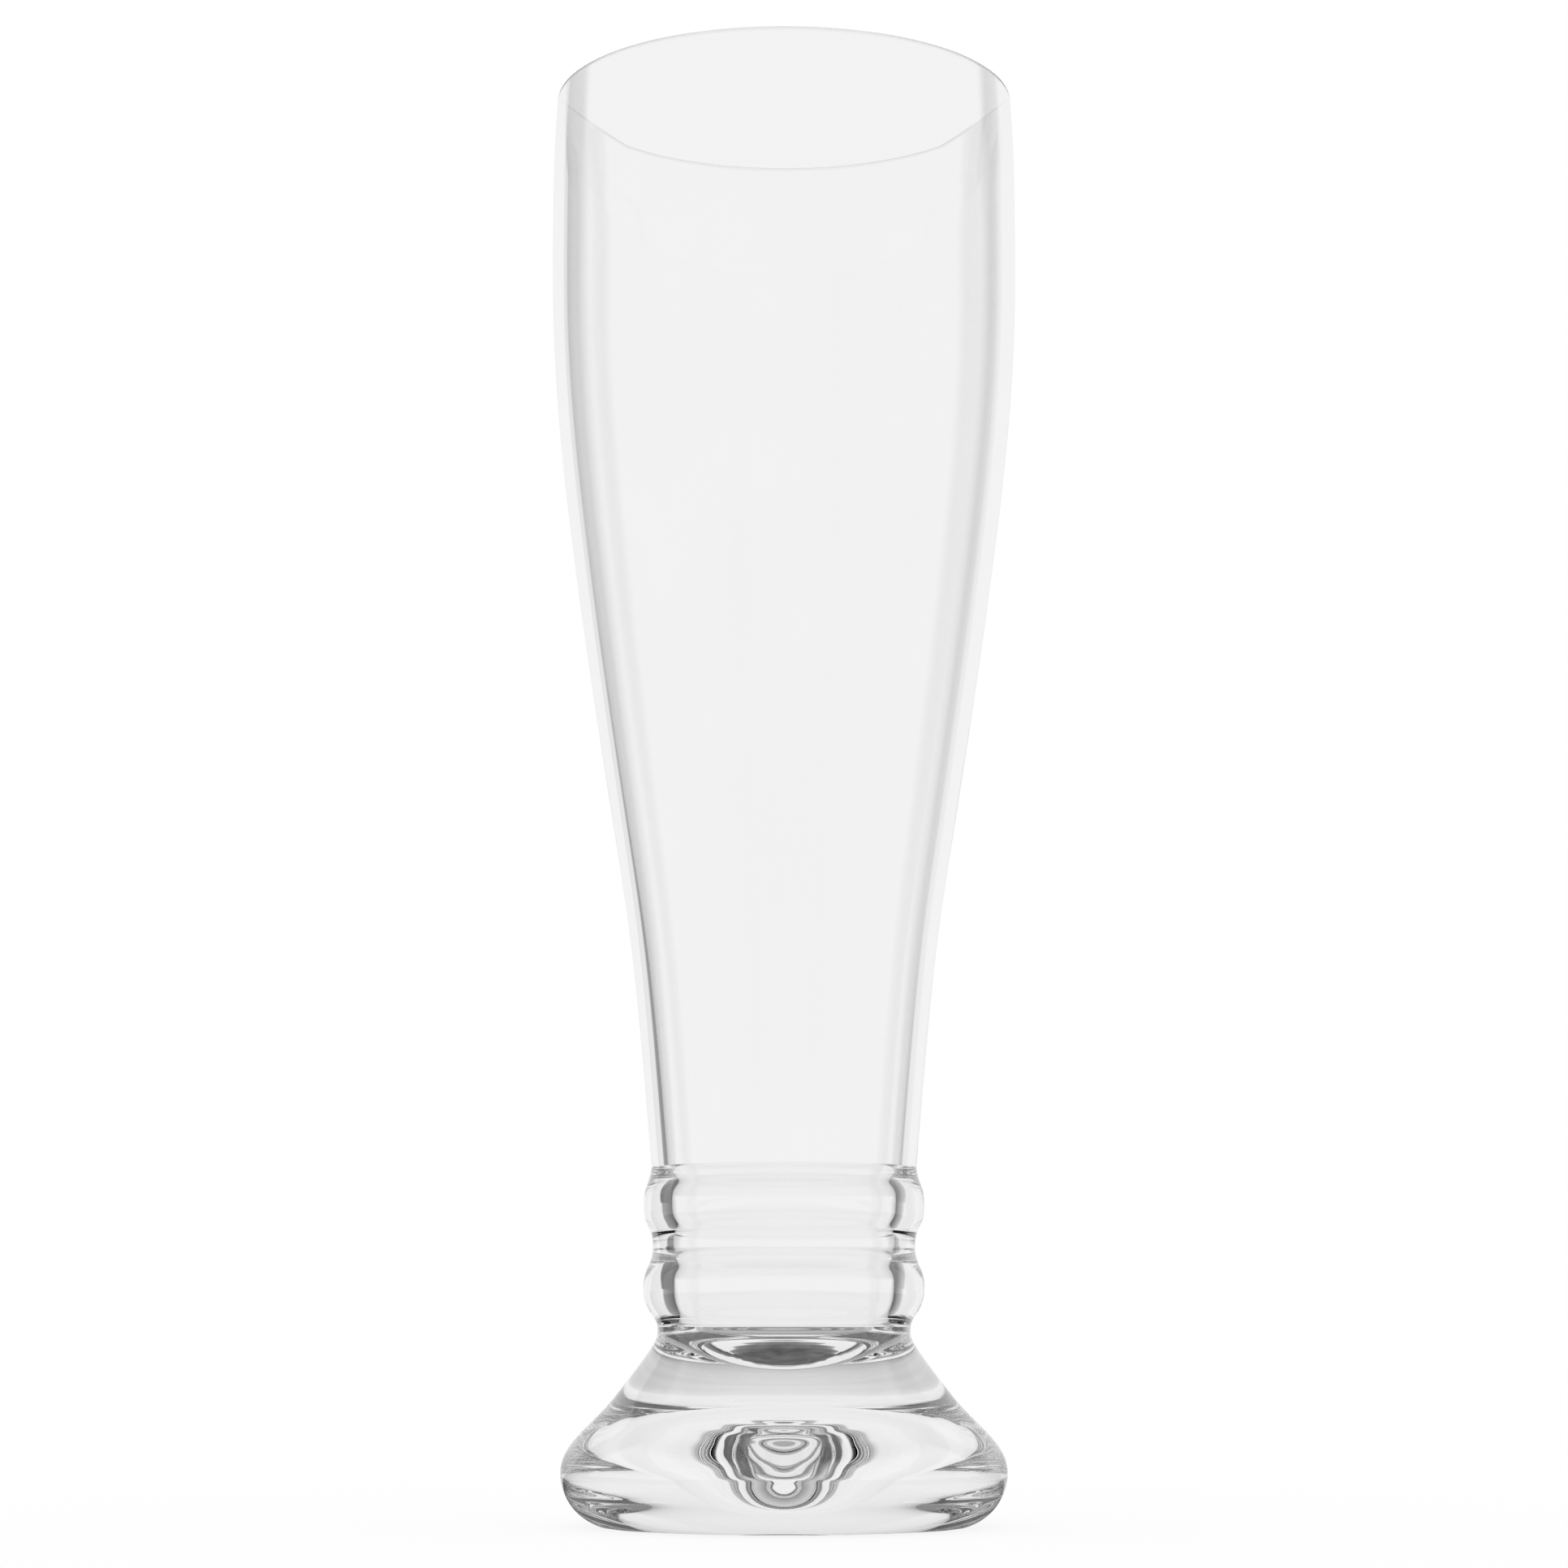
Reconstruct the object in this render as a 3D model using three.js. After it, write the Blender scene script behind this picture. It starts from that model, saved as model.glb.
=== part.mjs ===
// Wheat beer glass: a tall bowl on two moulded rings and a flared foot, all of clear glass.
// Millimetres, +Z up. The glass stands on z = 0 and its axis is the Z axis.
import * as THREE from 'three';

// Heights above the resting face
const totalHeight = 250;
const bellyHeight = 232;
const taperHeight = 127.7;
const bowlSeamHeight = 60.3;
const upperCrestHeight = 54;
const ringSeamHeight = 46.4;
const lowerCrestHeight = 39.7;
const neckHeight = 33.3;
const shoulderHeight = 21.4;
const footEdgeHeight = 8.9;

// Outer radii
const rimRadius = 40.4;
const bellyRadius = 41;
const taperRadius = 31;
const bowlSeamRadius = 22.7;
const upperCrestRadius = 24;
const ringSeamRadius = 22.4;
const lowerCrestRadius = 24;
const neckRadius = 21.6;
const shoulderRadius = 28.9;
const footEdgeRadius = 37.9;

// Wall thicknesses, each at the height of the outer radius of the same name
const rimWall = 1.6;
const bellyWall = 2.5;
const taperWall = 2.6;
const bowlSeamWall = 2.8;
const upperCrestWall = 4.8;
const ringSeamWall = 3.5;
const lowerCrestWall = 5.2;
const neckWall = 3.4;

// The floor of the hollow: the glass between it and the punt, how far out it is drawn level, and
// the way its edge falls in from the wall
const floorThickness = 10;
const floorFlatRadius = 9;
const floorEdgeRun = 3;
const floorEdgeDrop = 6;

// The flat ring that the glass rests on, and the punt inside it: its height, how far out it is
// drawn level, and the way its edge rises from the ring
const restRadius = 30;
const restWidth = 1.2;
const puntHeight = 10.4;
const puntFlatRadius = 14;
const puntEdgeRun = 11;
const puntEdgeRise = 4;

// Slopes of the outline: radius gained for each millimetre of height
const rimSlope = -0.05;
const innerRimSlope = 0.02;
const taperSlope = 0.16;
const bowlSeamSlope = 0.085;
const ringTopSlope = -0.14;
const wellSlope = 0.03;
const shoulderSlope = -0.8;
const partingSlope = 0.012;
const restEdgeSlope = 3;

// How far a stretch of outline keeps to the slope of its ends, as a share of its height
const ringReach = 0.56;
const waistReach = 0.6;
const neckReach = 0.25;
const wellReach = 0.33;
const seamReach = 0.6;
const lowTaperReach = 0.4;
const highTaperReach = 0.63;
const lowBellyReach = 0.26;
const highBellyReach = 0.4;
const rimReach = 0.28;
const shoulderTopReach = 0.15;
const shoulderReach = 0.88;
const edgeReach = 0.39;
const partingReach = 0.44;
const restEdgeReach = 0.16;

// Faceting of the turned solids
const sides = 48;
const longSteps = 6;
const shortSteps = 3;

// A place on an outline where the slope is known
function station(radius, height, slope = 0) {
  return { radius, height, slope };
}

// The same place on the inside of a wall
function inside(outer, wall, slope = outer.slope) {
  return station(outer.radius - wall, outer.height, slope);
}

// Points along a curve that leaves the first point towards the second and reaches the last
// point from the third. Each point is a radius and a height.
function bend(start, leave, arrive, end, steps) {
  const corners = [start, leave, arrive, end].map(([radius, height]) => new THREE.Vector2(radius, height));
  return new THREE.CubicBezierCurve(...corners).getPoints(steps);
}

// A smooth stretch of outline between two stations
function stretch(from, to, fromReach, toReach, steps) {
  const rise = to.height - from.height;
  return bend(
    [from.radius, from.height],
    [from.radius + from.slope * rise * fromReach, from.height + rise * fromReach],
    [to.radius - to.slope * rise * toReach, to.height - rise * toReach],
    [to.radius, to.height],
    steps,
  );
}

// An arc of an ellipse, its start and end given in quarter turns
function arc(centreRadius, centreHeight, halfWidth, halfHeight, fromTurn, toTurn, steps) {
  const start = (fromTurn * Math.PI) / 2;
  const end = (toTurn * Math.PI) / 2;
  return new THREE.EllipseCurve(
    centreRadius, centreHeight, halfWidth, halfHeight, start, end,
  ).getPoints(steps);
}

// Stations up the outside of the glass
const restEdge = station(restRadius + restWidth, 0, restEdgeSlope);
const partingEdge = station(footEdgeRadius, footEdgeHeight, partingSlope);
const footEdge = station(footEdgeRadius, footEdgeHeight);
const shoulder = station(shoulderRadius, shoulderHeight, shoulderSlope);
const neck = station(neckRadius, neckHeight);
const lowerCrest = station(lowerCrestRadius, lowerCrestHeight);
const lowerRingTop = station(ringSeamRadius, ringSeamHeight, ringTopSlope);
const ringSeam = station(ringSeamRadius, ringSeamHeight);
const upperCrest = station(upperCrestRadius, upperCrestHeight);
const upperRingTop = station(bowlSeamRadius, bowlSeamHeight, ringTopSlope);
const bowlSeam = station(bowlSeamRadius, bowlSeamHeight, bowlSeamSlope);
const taper = station(taperRadius, taperHeight, taperSlope);
const belly = station(bellyRadius, bellyHeight);
const lipRadius = rimWall / 2;
const rim = station(rimRadius, totalHeight - lipRadius, rimSlope);

// Stations up the inside
const wellFoot = inside(neck, neckWall, wellSlope);
const wellLower = inside(lowerCrest, lowerCrestWall, wellSlope);
const wellMiddle = inside(ringSeam, ringSeamWall, wellSlope);
const wellUpper = inside(upperCrest, upperCrestWall, wellSlope);
const wellTop = inside(bowlSeam, bowlSeamWall);
const innerTaper = inside(taper, taperWall);
const innerBelly = inside(belly, bellyWall);
const innerRim = inside(rim, rimWall, innerRimSlope);

// The blown bowl, up its outside, over the round lip and down its inside
function bowlOutline() {
  return [
    ...stretch(bowlSeam, taper, seamReach, lowTaperReach, longSteps),
    ...stretch(taper, belly, highTaperReach, lowBellyReach, longSteps),
    ...stretch(belly, rim, highBellyReach, rimReach, shortSteps),
    ...arc(rimRadius - lipRadius, rim.height, lipRadius, lipRadius, 0, 2, longSteps),
    ...stretch(innerRim, innerBelly, rimReach, highBellyReach, shortSteps),
    ...stretch(innerBelly, innerTaper, lowBellyReach, highTaperReach, longSteps),
    ...stretch(innerTaper, wellTop, lowTaperReach, seamReach, longSteps),
  ];
}

// The upper moulded ring, round the upper half of the well
function upperRingOutline() {
  return [
    ...stretch(ringSeam, upperCrest, waistReach, waistReach, longSteps),
    ...stretch(upperCrest, upperRingTop, ringReach, ringReach, longSteps),
    ...stretch(wellTop, wellUpper, wellReach, wellReach, shortSteps),
    ...stretch(wellUpper, wellMiddle, wellReach, wellReach, shortSteps),
  ];
}

// The lower moulded ring, round the lower half of the well
function lowerRingOutline() {
  return [
    ...stretch(neck, lowerCrest, neckReach, ringReach, longSteps),
    ...stretch(lowerCrest, lowerRingTop, ringReach, ringReach, longSteps),
    ...stretch(wellMiddle, wellLower, wellReach, wellReach, shortSteps),
    ...stretch(wellLower, wellFoot, wellReach, wellReach, shortSteps),
  ];
}

// The domed hollow under the foot, from its top on the axis out to the resting ring
function punt() {
  return bend(
    [0, puntHeight],
    [puntFlatRadius, puntHeight],
    [restRadius - puntEdgeRun, puntEdgeRise],
    [restRadius, 0],
    longSteps,
  );
}

// The floor of the hollow, from the end of the well in to the axis
function hollowFloor() {
  const floorHeight = puntHeight + floorThickness;
  return bend(
    [wellFoot.radius, neckHeight],
    [wellFoot.radius - floorEdgeRun, neckHeight - floorEdgeDrop],
    [floorFlatRadius, floorHeight],
    [0, floorHeight],
    longSteps,
  );
}

// The pressed foot: its underside, its rolled edge, its shoulder and the floor of the hollow
function footOutline() {
  return [
    ...punt(),
    ...stretch(restEdge, partingEdge, restEdgeReach, partingReach, longSteps),
    ...stretch(footEdge, shoulder, edgeReach, edgeReach, longSteps),
    ...stretch(shoulder, neck, shoulderReach, shoulderTopReach, longSteps),
    ...hollowFloor(),
  ];
}

// A solid turned from an outline that runs anticlockwise. Points that repeat are dropped, and an
// outline that doesn't start on the axis is closed.
function turned(outline) {
  const closest = 1e-3;
  const points = outline.filter((point, i) => i === 0 || point.distanceTo(outline[i - 1]) > closest);
  const startsOnAxis = points[0].x < closest;
  if (!startsOnAxis) points.push(points[0].clone());
  return new THREE.LatheGeometry(points, sides).rotateX(Math.PI / 2);
}

// Clear polished glass
function clearGlass() {
  return new THREE.MeshStandardMaterial({
    color: 0xf4f6f6,
    roughness: 0.03,
    metalness: 0,
    transparent: true,
    opacity: 0.35,
  });
}

function section(name, outline) {
  const mesh = new THREE.Mesh(turned(outline), clearGlass());
  mesh.name = name;
  return mesh;
}

const glass = new THREE.Group();
glass.add(section('bowl', bowlOutline()));
glass.add(section('upper_ring', upperRingOutline()));
glass.add(section('lower_ring', lowerRingOutline()));
glass.add(section('foot', footOutline()));

export default glass;
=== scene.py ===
import math

import bmesh
import bpy
import numpy as np
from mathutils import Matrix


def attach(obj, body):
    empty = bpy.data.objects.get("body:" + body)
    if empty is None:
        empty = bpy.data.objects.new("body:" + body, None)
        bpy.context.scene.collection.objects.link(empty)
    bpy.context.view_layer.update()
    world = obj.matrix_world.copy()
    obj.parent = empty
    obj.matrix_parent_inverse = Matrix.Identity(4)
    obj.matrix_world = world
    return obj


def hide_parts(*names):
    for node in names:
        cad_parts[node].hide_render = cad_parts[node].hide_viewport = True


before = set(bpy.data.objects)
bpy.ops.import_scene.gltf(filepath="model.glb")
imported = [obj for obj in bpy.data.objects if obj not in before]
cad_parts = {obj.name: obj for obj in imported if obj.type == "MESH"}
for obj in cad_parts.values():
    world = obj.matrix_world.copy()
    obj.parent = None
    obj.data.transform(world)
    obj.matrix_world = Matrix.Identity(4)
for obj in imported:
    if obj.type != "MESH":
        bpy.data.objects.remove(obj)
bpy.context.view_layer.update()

MM = 0.001

# Heights above the resting face, in millimetres
TOTAL_HEIGHT = 250
BELLY_HEIGHT = 232
TAPER_HEIGHT = 127.7
BOWL_SEAM_HEIGHT = 60.3
UPPER_CREST_HEIGHT = 54
RING_SEAM_HEIGHT = 46.4
LOWER_CREST_HEIGHT = 39.7
NECK_HEIGHT = 33.3
SHOULDER_HEIGHT = 21.4
FOOT_EDGE_HEIGHT = 8.9

# Outer radii
RIM_RADIUS = 40.4
BELLY_RADIUS = 41
TAPER_RADIUS = 31
BOWL_SEAM_RADIUS = 22.7
UPPER_CREST_RADIUS = 24
RING_SEAM_RADIUS = 22.4
LOWER_CREST_RADIUS = 24
NECK_RADIUS = 21.6
SHOULDER_RADIUS = 28.9
FOOT_EDGE_RADIUS = 37.9

# Wall thicknesses
RIM_WALL = 1.6
BELLY_WALL = 2.5
TAPER_WALL = 2.6
BOWL_SEAM_WALL = 2.8
UPPER_CREST_WALL = 4.8
RING_SEAM_WALL = 3.5
LOWER_CREST_WALL = 5.2
NECK_WALL = 3.4

# The floor of the hollow
FLOOR_THICKNESS = 10
FLOOR_FLAT_RADIUS = 9
FLOOR_EDGE_RUN = 3
FLOOR_EDGE_DROP = 6

# The flat ring that the glass rests on, and the punt inside it
REST_RADIUS = 30
REST_WIDTH = 1.2
PUNT_HEIGHT = 10.4
PUNT_FLAT_RADIUS = 14
PUNT_EDGE_RUN = 11
PUNT_EDGE_RISE = 4

# Slopes of the outline: radius gained for each millimetre of height
RIM_SLOPE = -0.05
INNER_RIM_SLOPE = 0.02
TAPER_SLOPE = 0.16
BOWL_SEAM_SLOPE = 0.085
RING_TOP_SLOPE = -0.14
WELL_SLOPE = 0.03
SHOULDER_SLOPE = -0.8
REST_EDGE_SLOPE = 3
PARTING_SLOPE = 0.012

# How far a stretch of outline keeps to the slope of its ends, as a share of its height
RING_REACH = 0.56
WAIST_REACH = 0.6
NECK_REACH = 0.25
WELL_REACH = 0.33
SEAM_REACH = 0.6
LOW_TAPER_REACH = 0.4
HIGH_TAPER_REACH = 0.63
LOW_BELLY_REACH = 0.26
HIGH_BELLY_REACH = 0.4
RIM_REACH = 0.28
SHOULDER_TOP_REACH = 0.15
SHOULDER_REACH = 0.88
EDGE_REACH = 0.39
REST_EDGE_REACH = 0.16
PARTING_REACH = 0.44

# Mesh fineness
SIDES = 192
LONG_STEPS = 36
SHORT_STEPS = 14
SAME_PLACE = 1e-7

# Pressing marks: rings round the punt left by the mould
RIPPLE_DEPTH = 0.02
RIPPLE_SPACING = 3

# Glass: faint upright waves from its drawing, and slight changes of tint
GLASS_IOR = 1.52
WAVE_SCALE = (70, 70, 9)
WAVE_DETAIL = 1
WAVE_STRENGTH = 0.2
WAVE_HEIGHT = 0.0001
TINT_SCALE = (60, 60, 40)
TINT_DETAIL = 2
TINT_LEVELS = (1.0, 0.985)


def station(radius, height, slope=0.0):
    """A place on the outline where the slope is known."""
    return radius, height, slope


def inside(outer, wall, slope=None):
    """The same place on the inside of a wall."""
    return outer[0] - wall, outer[1], outer[2] if slope is None else slope


def bend(start, leave, arrive, end, steps):
    """Points along a curve that leaves start towards leave and reaches end from arrive."""
    t = np.linspace(0, 1, steps + 1)[:, None]
    corners = [np.array(p, float) for p in (start, leave, arrive, end)]
    shares = ((1 - t) ** 3, 3 * t * (1 - t) ** 2, 3 * t * t * (1 - t), t ** 3)
    return sum(share * corner for share, corner in zip(shares, corners))


def stretch(low, high, low_reach, high_reach, steps=LONG_STEPS):
    """A smooth stretch of outline between two stations."""
    rise = high[1] - low[1]
    return bend(
        low[:2],
        (low[0] + low[2] * rise * low_reach, low[1] + rise * low_reach),
        (high[0] - high[2] * rise * high_reach, high[1] - rise * high_reach),
        high[:2],
        steps,
    )


def arc(centre, half_width, half_height, from_turn, to_turn, steps):
    """An arc of an ellipse, its start and end given in quarter turns."""
    turn = np.linspace(from_turn, to_turn, steps + 1) * math.pi / 2
    return np.stack([centre[0] + half_width * np.cos(turn), centre[1] + half_height * np.sin(turn)], 1)


def line(start, end):
    return np.array([start, end], float)


rest_edge = station(REST_RADIUS + REST_WIDTH, 0, REST_EDGE_SLOPE)
parting = station(FOOT_EDGE_RADIUS, FOOT_EDGE_HEIGHT, PARTING_SLOPE)
foot_edge = station(FOOT_EDGE_RADIUS, FOOT_EDGE_HEIGHT)
shoulder = station(SHOULDER_RADIUS, SHOULDER_HEIGHT, SHOULDER_SLOPE)
neck = station(NECK_RADIUS, NECK_HEIGHT)
lower_crest = station(LOWER_CREST_RADIUS, LOWER_CREST_HEIGHT)
lower_ring_top = station(RING_SEAM_RADIUS, RING_SEAM_HEIGHT, RING_TOP_SLOPE)
ring_seam = station(RING_SEAM_RADIUS, RING_SEAM_HEIGHT)
upper_crest = station(UPPER_CREST_RADIUS, UPPER_CREST_HEIGHT)
upper_ring_top = station(BOWL_SEAM_RADIUS, BOWL_SEAM_HEIGHT, RING_TOP_SLOPE)
bowl_seam = station(BOWL_SEAM_RADIUS, BOWL_SEAM_HEIGHT, BOWL_SEAM_SLOPE)
taper = station(TAPER_RADIUS, TAPER_HEIGHT, TAPER_SLOPE)
belly = station(BELLY_RADIUS, BELLY_HEIGHT)
lip_radius = RIM_WALL / 2
rim = station(RIM_RADIUS, TOTAL_HEIGHT - lip_radius, RIM_SLOPE)

well_foot = inside(neck, NECK_WALL, WELL_SLOPE)
well_lower = inside(lower_crest, LOWER_CREST_WALL, WELL_SLOPE)
well_middle = inside(ring_seam, RING_SEAM_WALL, WELL_SLOPE)
well_upper = inside(upper_crest, UPPER_CREST_WALL, WELL_SLOPE)
well_top = inside(bowl_seam, BOWL_SEAM_WALL)
inner_taper = inside(taper, TAPER_WALL)
inner_belly = inside(belly, BELLY_WALL)
inner_rim = inside(rim, RIM_WALL, INNER_RIM_SLOPE)


def punt():
    """The domed hollow under the foot, with the rings of its mould."""
    points = bend(
        (0, PUNT_HEIGHT),
        (PUNT_FLAT_RADIUS, PUNT_HEIGHT),
        (REST_RADIUS - PUNT_EDGE_RUN, PUNT_EDGE_RISE),
        (REST_RADIUS, 0),
        3 * LONG_STEPS,
    )
    fade = np.clip(points[:, 1] / PUNT_EDGE_RISE, 0, 1)
    points[:, 1] += RIPPLE_DEPTH * fade * np.cos(2 * math.pi * points[:, 0] / RIPPLE_SPACING)
    return points


def hollow_floor():
    floor_height = PUNT_HEIGHT + FLOOR_THICKNESS
    return bend(
        (well_foot[0], NECK_HEIGHT),
        (well_foot[0] - FLOOR_EDGE_RUN, NECK_HEIGHT - FLOOR_EDGE_DROP),
        (FLOOR_FLAT_RADIUS, floor_height),
        (0, floor_height),
        2 * LONG_STEPS,
    )


def bowl_runs():
    return [
        stretch(bowl_seam, taper, SEAM_REACH, LOW_TAPER_REACH),
        stretch(taper, belly, HIGH_TAPER_REACH, LOW_BELLY_REACH),
        stretch(belly, rim, HIGH_BELLY_REACH, RIM_REACH, SHORT_STEPS),
        arc((RIM_RADIUS - lip_radius, rim[1]), lip_radius, lip_radius, 0, 2, SHORT_STEPS),
        stretch(inner_rim, inner_belly, RIM_REACH, HIGH_BELLY_REACH, SHORT_STEPS),
        stretch(inner_belly, inner_taper, LOW_BELLY_REACH, HIGH_TAPER_REACH),
        stretch(inner_taper, well_top, LOW_TAPER_REACH, SEAM_REACH),
    ]


def upper_ring_runs():
    return [
        stretch(ring_seam, upper_crest, WAIST_REACH, WAIST_REACH),
        stretch(upper_crest, upper_ring_top, RING_REACH, RING_REACH),
        stretch(well_top, well_upper, WELL_REACH, WELL_REACH, SHORT_STEPS),
        stretch(well_upper, well_middle, WELL_REACH, WELL_REACH, SHORT_STEPS),
    ]


def lower_ring_runs():
    return [
        stretch(neck, lower_crest, NECK_REACH, RING_REACH),
        stretch(lower_crest, lower_ring_top, RING_REACH, RING_REACH),
        stretch(well_middle, well_lower, WELL_REACH, WELL_REACH, SHORT_STEPS),
        stretch(well_lower, well_foot, WELL_REACH, WELL_REACH, SHORT_STEPS),
    ]


def foot_runs():
    return [
        punt(),
        line((REST_RADIUS, 0), rest_edge[:2]),
        stretch(rest_edge, parting, REST_EDGE_REACH, PARTING_REACH),
        stretch(foot_edge, shoulder, EDGE_REACH, EDGE_REACH),
        stretch(shoulder, neck, SHOULDER_REACH, SHOULDER_TOP_REACH),
        hollow_floor(),
    ]


def turned_run(points):
    """Positions and normals of one run of outline turned round the axis, in metres."""
    angle = 2 * math.pi * np.arange(SIDES) / SIDES
    radius = points[:, :1] * MM
    height = np.repeat(points[:, 1:] * MM, SIDES, 1)
    places = np.stack([radius * np.sin(angle), -radius * np.cos(angle), height], 2)
    along = np.gradient(points, axis=0, edge_order=2 if len(points) > 2 else 1)
    along /= np.linalg.norm(along, axis=1)[:, None]
    normals = np.stack(
        [along[:, 1:] * np.sin(angle), -along[:, 1:] * np.cos(angle), np.repeat(-along[:, :1], SIDES, 1)], 2
    )
    return places, normals


class Lathe:
    """A closed mesh gathered run by run, with the normals of the true surface at each corner."""

    def __init__(self):
        self.places = []
        self.faces = []
        self.normals = []
        self.materials = []

    def row(self, ring):
        """The corners of one turn of the outline; a turn on the axis is a single corner."""
        start = len(self.places)
        if np.ptp(ring[:, :2]) < SAME_PLACE:
            self.places.append(tuple(ring[0]))
            return [start] * SIDES
        self.places.extend(map(tuple, ring))
        return list(range(start, start + SIDES))

    def band(self, low, high, low_normals, high_normals, material):
        """The faces between two neighbouring turns."""
        for k in range(SIDES):
            n = (k + 1) % SIDES
            corners = [
                (low[k], low_normals[k]),
                (low[n], low_normals[n]),
                (high[n], high_normals[n]),
                (high[k], high_normals[k]),
            ]
            if low[k] == low[n]:
                corners.pop(1)
            if high[k] == high[n]:
                corners.pop()
            self.faces.append([c for c, _ in corners])
            self.normals.extend(tuple(v) for _, v in corners)
            self.materials.append(material)


def turned(name, runs):
    """A closed solid of glass. Gaps between runs are the flat seams to the next section."""
    lathe = Lathe()
    first = last = last_place = None
    surface, seam = 0, 1
    for points in runs:
        places, normals = turned_run(points)
        if last is None:
            rows = [lathe.row(places[0])]
            first = rows[0]
        elif np.allclose(places[0], last_place, atol=SAME_PLACE):
            rows = [last]
        else:
            rows = [lathe.row(places[0])]
            up = np.tile((0.0, 0.0, 1.0), (SIDES, 1))
            lathe.band(last, rows[0], up, up, seam)
        rows += [lathe.row(ring) for ring in places[1:]]
        for i in range(len(rows) - 1):
            lathe.band(rows[i], rows[i + 1], normals[i], normals[i + 1], surface)
        last, last_place = rows[-1], places[-1]
    if last[0] != last[1]:
        down = np.tile((0.0, 0.0, -1.0), (SIDES, 1))
        lathe.band(last, first, down, down, seam)
    mesh = bpy.data.meshes.new(name)
    mesh.from_pydata(lathe.places, [], lathe.faces)
    mesh.polygons.foreach_set("use_smooth", [True] * len(lathe.faces))
    mesh.polygons.foreach_set("material_index", lathe.materials)
    mesh.update()
    mesh.normals_split_custom_set(lathe.normals)
    piece = bpy.data.objects.new(name, mesh)
    bpy.context.scene.collection.objects.link(piece)
    return piece


def add(tree, kind, inputs, **settings):
    """A shader node. An input given as a socket is linked, and any other is set as a value."""
    made = tree.nodes.new("ShaderNode" + kind)
    for name, value in settings.items():
        setattr(made, name, value)
    for name, value in inputs.items():
        if isinstance(value, bpy.types.NodeSocket):
            tree.links.new(value, made.inputs[name])
        else:
            made.inputs[name].default_value = value
    return made


def noise(tree, stretch, detail):
    """Noise that keeps to its piece, with a scale along each axis, per metre."""
    place = add(tree, "TexCoord", {}).outputs["Object"]
    scaled = add(tree, "Mapping", {"Vector": place, "Scale": stretch})
    made = add(tree, "TexNoise", {"Vector": scaled.outputs[0], "Scale": 1.0, "Detail": detail})
    return made.outputs["Fac"]


def clear_glass():
    """Clear polished glass, with the faint upright waves of its drawing and slight changes of tint."""
    material = bpy.data.materials.new("clear_glass")
    material.use_nodes = True
    tree = material.node_tree
    shader = tree.nodes["Principled BSDF"]
    shader.inputs["Transmission Weight"].default_value = 1
    shader.inputs["IOR"].default_value = GLASS_IOR
    shader.inputs["Roughness"].default_value = 0
    waves = add(
        tree,
        "Bump",
        {
            "Height": noise(tree, WAVE_SCALE, WAVE_DETAIL),
            "Strength": WAVE_STRENGTH,
            "Distance": WAVE_HEIGHT,
        },
    )
    tree.links.new(waves.outputs[0], shader.inputs["Normal"])
    tint = add(
        tree,
        "MapRange",
        {"Value": noise(tree, TINT_SCALE, TINT_DETAIL), "To Min": TINT_LEVELS[0], "To Max": TINT_LEVELS[1]},
    )
    tree.links.new(tint.outputs[0], shader.inputs["Base Color"])
    return material


def fused_seam():
    """The fused joint between two sections, which doesn't show."""
    material = bpy.data.materials.new("fused_seam")
    material.use_nodes = True
    shader = material.node_tree.nodes["Principled BSDF"]
    shader.inputs["Alpha"].default_value = 0
    return material


def dress(name, runs, materials):
    piece = turned(name + "_glass", runs)
    for material in materials:
        piece.data.materials.append(material)
    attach(piece, "root")
    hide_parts(name)
    return piece


# Camera
CAMERA_DISTANCE = 0.6492
CAMERA_HEIGHT = 0.0326
CAMERA_PITCH = 8.26
CAMERA_LENS = 86.5
CAMERA_SENSOR = 36


def camera():
    data = bpy.data.cameras.new("camera")
    data.lens = CAMERA_LENS
    data.sensor_width = CAMERA_SENSOR
    eye = bpy.data.objects.new("camera", data)
    eye.location = (0, -CAMERA_DISTANCE, CAMERA_HEIGHT)
    eye.rotation_euler = (math.radians(90 + CAMERA_PITCH), 0, 0)
    bpy.context.scene.collection.objects.link(eye)
    bpy.context.scene.camera = eye


# Studio round the glass
ROOM_RADIUS = 2.0
ROOM_SEGMENTS = 64
ROOM_LEVEL = 0.9
WALL_FADE = (40, 54)
OVERHEAD_RISE = 65
OVERHEAD_SPREAD = (30, 40)
OVERHEAD_LEVEL = 0.5
DISC_SEGMENTS = 128
TABLE_RADIUS = 2.5
TABLE_DROP = 0.0001
# Painted mottle of shade and caustic light in the shadow under the glass: its levels, scale and detail
TABLE_PAINTED_MOTTLE_LEVELS = (0.02, 0.24)
TABLE_PAINTED_MOTTLE_SCALE = (120, 120, 120)
TABLE_PAINTED_MOTTLE_DETAIL = 3
# Painted shadow of the glass on the table: darkest within the first distance from the axis and at full
# level from the second, in metres
TABLE_PAINTED_SHADOW_REACH = (0.014, 0.072)

# Dark cards at the left and right behind the glass: turns and their levels.
# A turn is in degrees from straight behind the glass, to the right.
ROOM_CARDS = (
    (-66, ROOM_LEVEL), (-60, 0.08), (-41, 0.3), (-39, ROOM_LEVEL),
    (43, ROOM_LEVEL), (46, 0.55), (58, 0.08), (60, 0.08), (66, ROOM_LEVEL),
)
TABLE_CARDS = (
    (-66, ROOM_LEVEL), (-60, 0.08), (-39, 0.12), (-37, ROOM_LEVEL),
    (41, ROOM_LEVEL), (44, 0.55), (58, 0.08), (60, 0.08), (66, ROOM_LEVEL),
)

# Painted shade: close to the glass the table is dim at the sides and in front, by the same turns
TABLE_SHADE = (
    (-180, 0.28), (-125, 0.05), (-95, 0.03), (-70, 0.08), (-39, 0.12), (-37, ROOM_LEVEL),
    (41, ROOM_LEVEL), (44, 0.55), (58, 0.08), (90, 0.03), (125, 0.05), (180, 0.28),
)
TABLE_SHADE_FADE = (0.25, 0.35)


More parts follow.
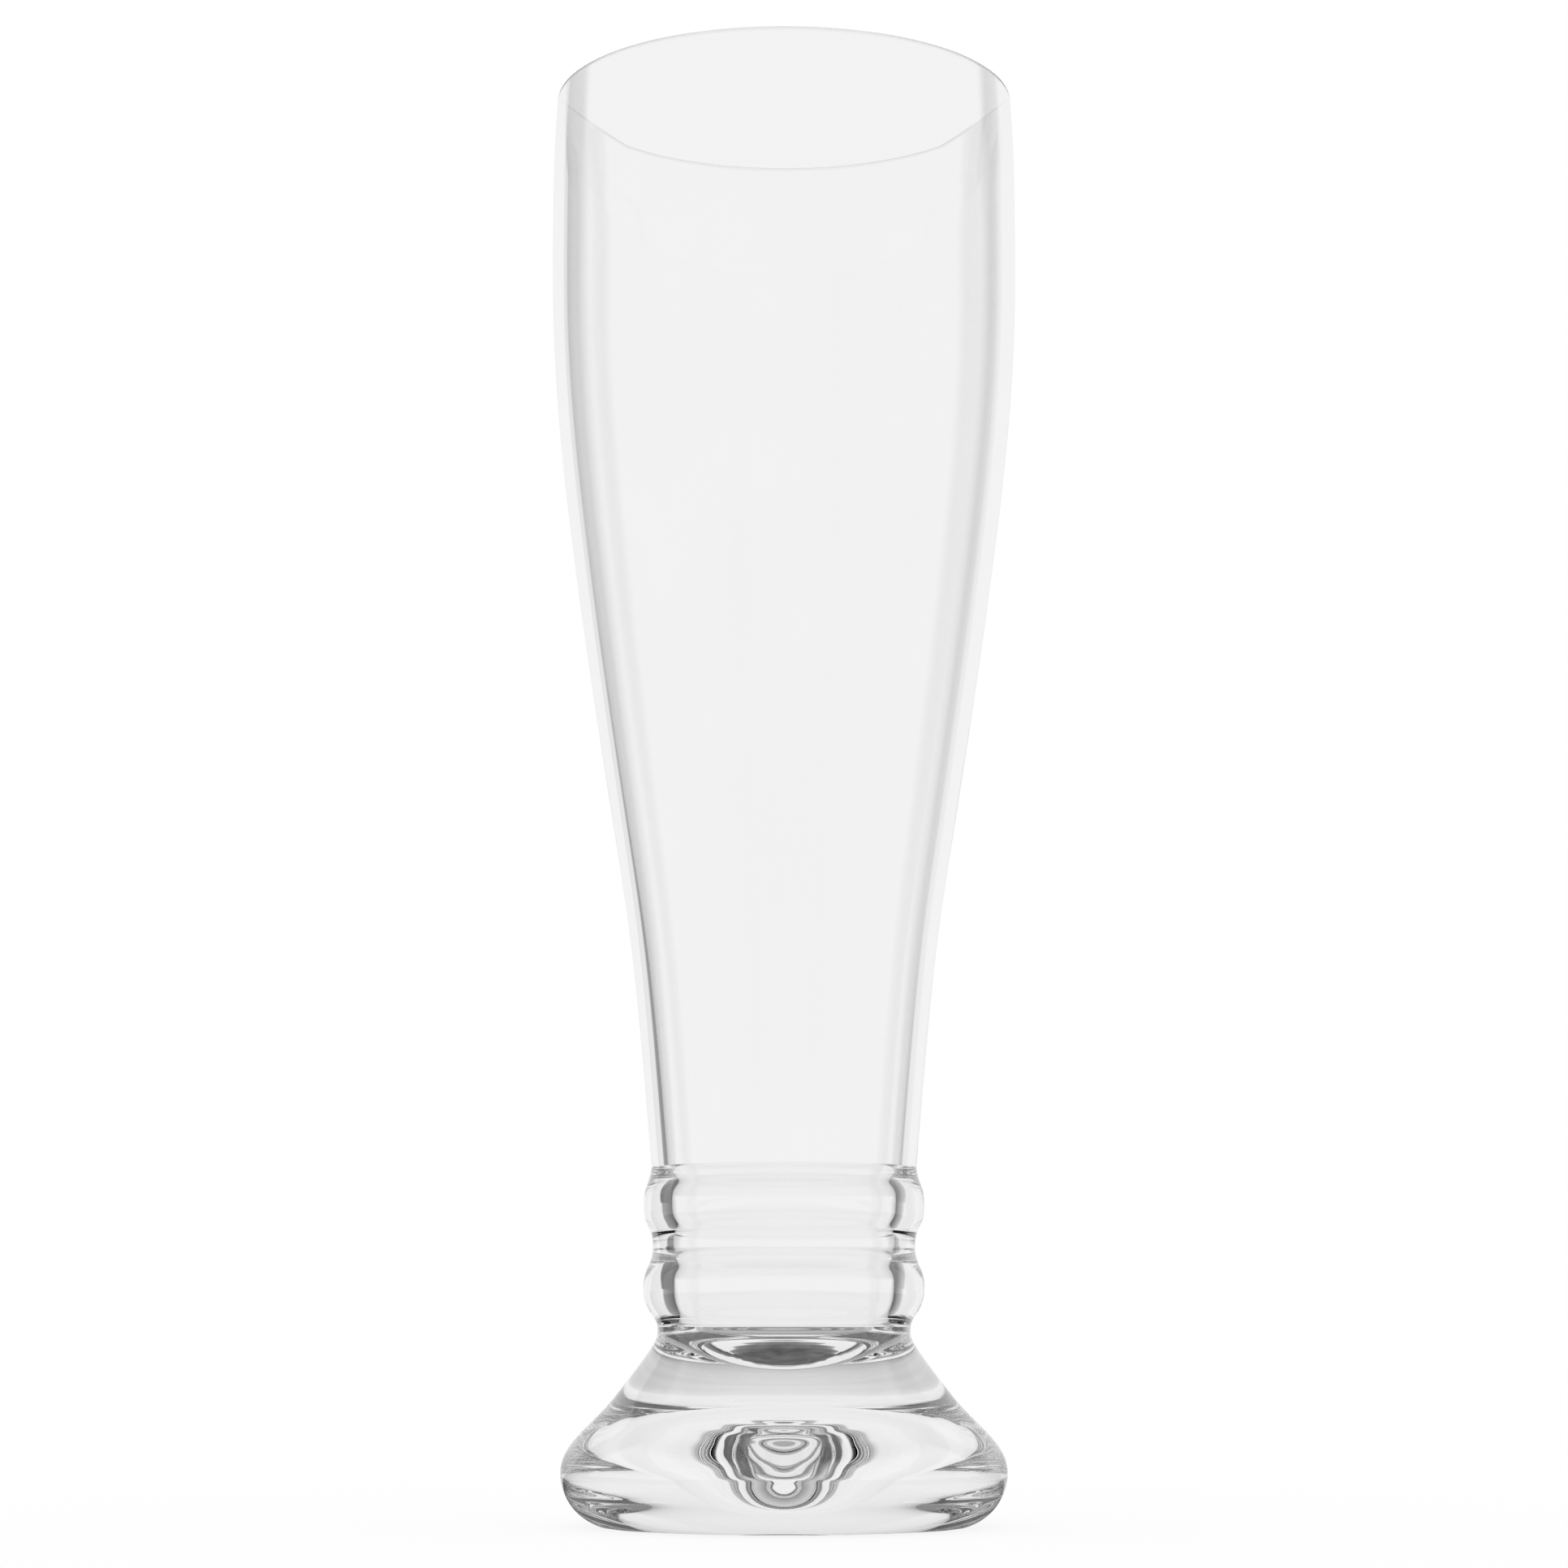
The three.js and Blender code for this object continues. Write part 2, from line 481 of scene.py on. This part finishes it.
def ramp(tree, share, stops):
    """A level read off a line of stops, each a share from 0 to 1 and its level."""
    made = add(tree, "ValToRGB", {"Fac": share})
    elements = made.color_ramp.elements
    elements.remove(elements[-1])
    for i, (place, level) in enumerate(stops):
        stop = elements[0] if i == 0 else elements.new(place)
        stop.position = place
        stop.color = (level, level, level, 1)
    return made.outputs["Color"]


def blank(name):
    """A material without nodes, and its tree."""
    material = bpy.data.materials.new(name)
    material.use_nodes = True
    material.node_tree.nodes.clear()
    return material, material.node_tree


def shine(tree, level):
    """Ends a material that gives off light of one level."""
    light = add(tree, "Emission", {"Color": level})
    add(tree, "OutputMaterial", {"Surface": light.outputs[0]})


def studio_level(tree, place, cards):
    """The light of the studio at a place: white, with cards by the place's turn round the glass.

    The cards show only in the reflections of the glass. Straight through it the studio is white.
    """
    split = add(tree, "SeparateXYZ", {0: place})
    turn = add(tree, "Math", {0: split.outputs["X"], 1: split.outputs["Y"]}, operation="ARCTAN2")
    share = add(tree, "MapRange", {"Value": turn.outputs[0], "From Min": -math.pi, "From Max": math.pi})
    stops = [(0.5 + degrees / 360, level) for degrees, level in cards]
    dark = ramp(tree, share.outputs[0], stops)
    path = add(tree, "LightPath", {})
    mirrored = add(tree, "Math", {0: path.outputs["Glossy Depth"], 1: 1}, operation="MINIMUM")
    return add(tree, "Mix", {"Factor": mirrored.outputs[0], "A": ROOM_LEVEL, "B": dark}).outputs[0]


def room_light():
    """White walls round the glass, with the cards, and a soft light above it."""
    material, tree = blank("room_light")
    place = add(tree, "TexCoord", {}).outputs["Object"]
    direction = add(tree, "VectorMath", {0: place}, operation="NORMALIZE").outputs["Vector"]
    rise = add(tree, "SeparateXYZ", {0: direction}).outputs["Z"]
    low, high = (math.sin(math.radians(a)) for a in WALL_FADE)
    fade = add(
        tree,
        "MapRange",
        {"Value": rise, "From Min": high, "From Max": low},
        interpolation_type="SMOOTHSTEP",
    )
    wall = add(
        tree,
        "Math",
        {0: studio_level(tree, direction, ROOM_CARDS), 1: fade.outputs[0]},
        operation="MULTIPLY",
    )
    up = math.radians(OVERHEAD_RISE)
    lamp = (0, math.cos(up), math.sin(up))
    near = add(tree, "VectorMath", {0: direction, 1: lamp}, operation="DOT_PRODUCT")
    inner, outer = (math.cos(math.radians(a)) for a in OVERHEAD_SPREAD)
    above = add(
        tree,
        "MapRange",
        {"Value": near.outputs["Value"], "From Min": outer, "From Max": inner, "To Max": OVERHEAD_LEVEL},
        interpolation_type="SMOOTHSTEP",
    )
    level = add(tree, "Math", {0: wall.outputs[0], 1: above.outputs[0]}, operation="MAXIMUM")
    shine(tree, level.outputs[0])
    return material


def table_light():
    """A glowing white table with the feet of the cards, and close to the glass painted shade, a painted
    shadow and a painted mottle of caustic light.
    """
    material, tree = blank("table_light")
    place = add(tree, "TexCoord", {}).outputs["Object"]
    away = add(tree, "VectorMath", {0: place}, operation="LENGTH").outputs["Value"]
    shade_end, cards_start = TABLE_SHADE_FADE
    beyond = add(tree, "MapRange", {"Value": away, "From Min": shade_end, "From Max": cards_start})
    # Painted shade close to the glass, at its sides and in front
    shade = studio_level(tree, place, TABLE_SHADE)
    cards = studio_level(tree, place, TABLE_CARDS)
    around = add(tree, "Mix", {"Factor": beyond.outputs[0], "A": shade, "B": cards})
    # Painted shadow: the table darkens towards the axis of the glass
    near, far = TABLE_PAINTED_SHADOW_REACH
    fade = add(tree, "MapRange", {"Value": away, "From Min": near, "From Max": far})
    painted_shade_level = add(tree, "Math", {0: around.outputs[0], 1: fade.outputs[0]}, operation="MULTIPLY")
    # Painted mottle of shade and caustic light; it shows where the painted shadow is darker than it
    painted_mottle = add(
        tree,
        "MapRange",
        {
            "Value": noise(tree, TABLE_PAINTED_MOTTLE_SCALE, TABLE_PAINTED_MOTTLE_DETAIL),
            "To Min": TABLE_PAINTED_MOTTLE_LEVELS[0],
            "To Max": TABLE_PAINTED_MOTTLE_LEVELS[1],
        },
    )
    level = add(tree, "Math", {0: painted_shade_level.outputs[0], 1: painted_mottle.outputs[0]}, operation="MAXIMUM")
    shine(tree, level.outputs[0])
    return material


def stage_piece(name, shape, material):
    """A piece of the studio, from a bmesh."""
    mesh = bpy.data.meshes.new(name)
    shape.to_mesh(mesh)
    shape.free()
    mesh.materials.append(material)
    piece = bpy.data.objects.new(name, mesh)
    bpy.context.scene.collection.objects.link(piece)
    return piece


def seen_in_glass_only(piece):
    piece.visible_camera = False
    piece.visible_diffuse = False
    piece.visible_shadow = False


def room():
    shape = bmesh.new()
    rings = ROOM_SEGMENTS // 2
    bmesh.ops.create_uvsphere(shape, u_segments=ROOM_SEGMENTS, v_segments=rings, radius=ROOM_RADIUS)
    seen_in_glass_only(stage_piece("room", shape, room_light()))


def disc(radius, height):
    shape = bmesh.new()
    bmesh.ops.create_circle(shape, cap_ends=True, segments=DISC_SEGMENTS, radius=radius)
    bmesh.ops.translate(shape, verts=shape.verts, vec=(0, 0, height))
    return shape


def table():
    seen_in_glass_only(stage_piece("table", disc(TABLE_RADIUS, -TABLE_DROP), table_light()))


FLOOR_RADIUS = 3.0
FLOOR_DROP = 0.0002
FLOOR_WHITE_SHARE = 0.9


def floor_paper():
    """White paper that keeps a faint shadow."""
    material, tree = blank("floor_paper")
    path = add(tree, "LightPath", {})
    seen = path.outputs["Is Camera Ray"]
    share = add(tree, "Math", {0: seen, 1: FLOOR_WHITE_SHARE}, operation="MULTIPLY")
    matt = add(tree, "BsdfDiffuse", {"Color": (1, 1, 1, 1)})
    white = add(tree, "Emission", {"Strength": 1.0})
    both = add(tree, "MixShader", {"Fac": share.outputs[0], 1: matt.outputs[0], 2: white.outputs[0]})
    add(tree, "OutputMaterial", {"Surface": both.outputs[0]})
    return material


def floor():
    stage_piece("floor", disc(FLOOR_RADIUS, -FLOOR_DROP), floor_paper())


def white_world():
    world = bpy.data.worlds.new("world")
    bpy.context.scene.world = world
    world.use_nodes = True
    shader = world.node_tree.nodes["Background"]
    shader.inputs["Color"].default_value = (1, 1, 1, 1)
    shader.inputs["Strength"].default_value = 1


# How often light may turn inside the glass
GLASS_BOUNCES = 64


def render_settings():
    scene = bpy.context.scene
    scene.view_settings.view_transform = "Standard"
    scene.cycles.max_bounces = GLASS_BOUNCES
    scene.cycles.transmission_bounces = GLASS_BOUNCES
    scene.cycles.glossy_bounces = GLASS_BOUNCES // 2
    scene.cycles.transparent_max_bounces = GLASS_BOUNCES
    scene.cycles.caustics_refractive = False
    scene.cycles.caustics_reflective = False


camera()
finish = [clear_glass(), fused_seam()]
dress("bowl", bowl_runs(), finish)
dress("upper_ring", upper_ring_runs(), finish)
dress("lower_ring", lower_ring_runs(), finish)
dress("foot", foot_runs(), finish)
room()
table()
floor()
white_world()
render_settings()
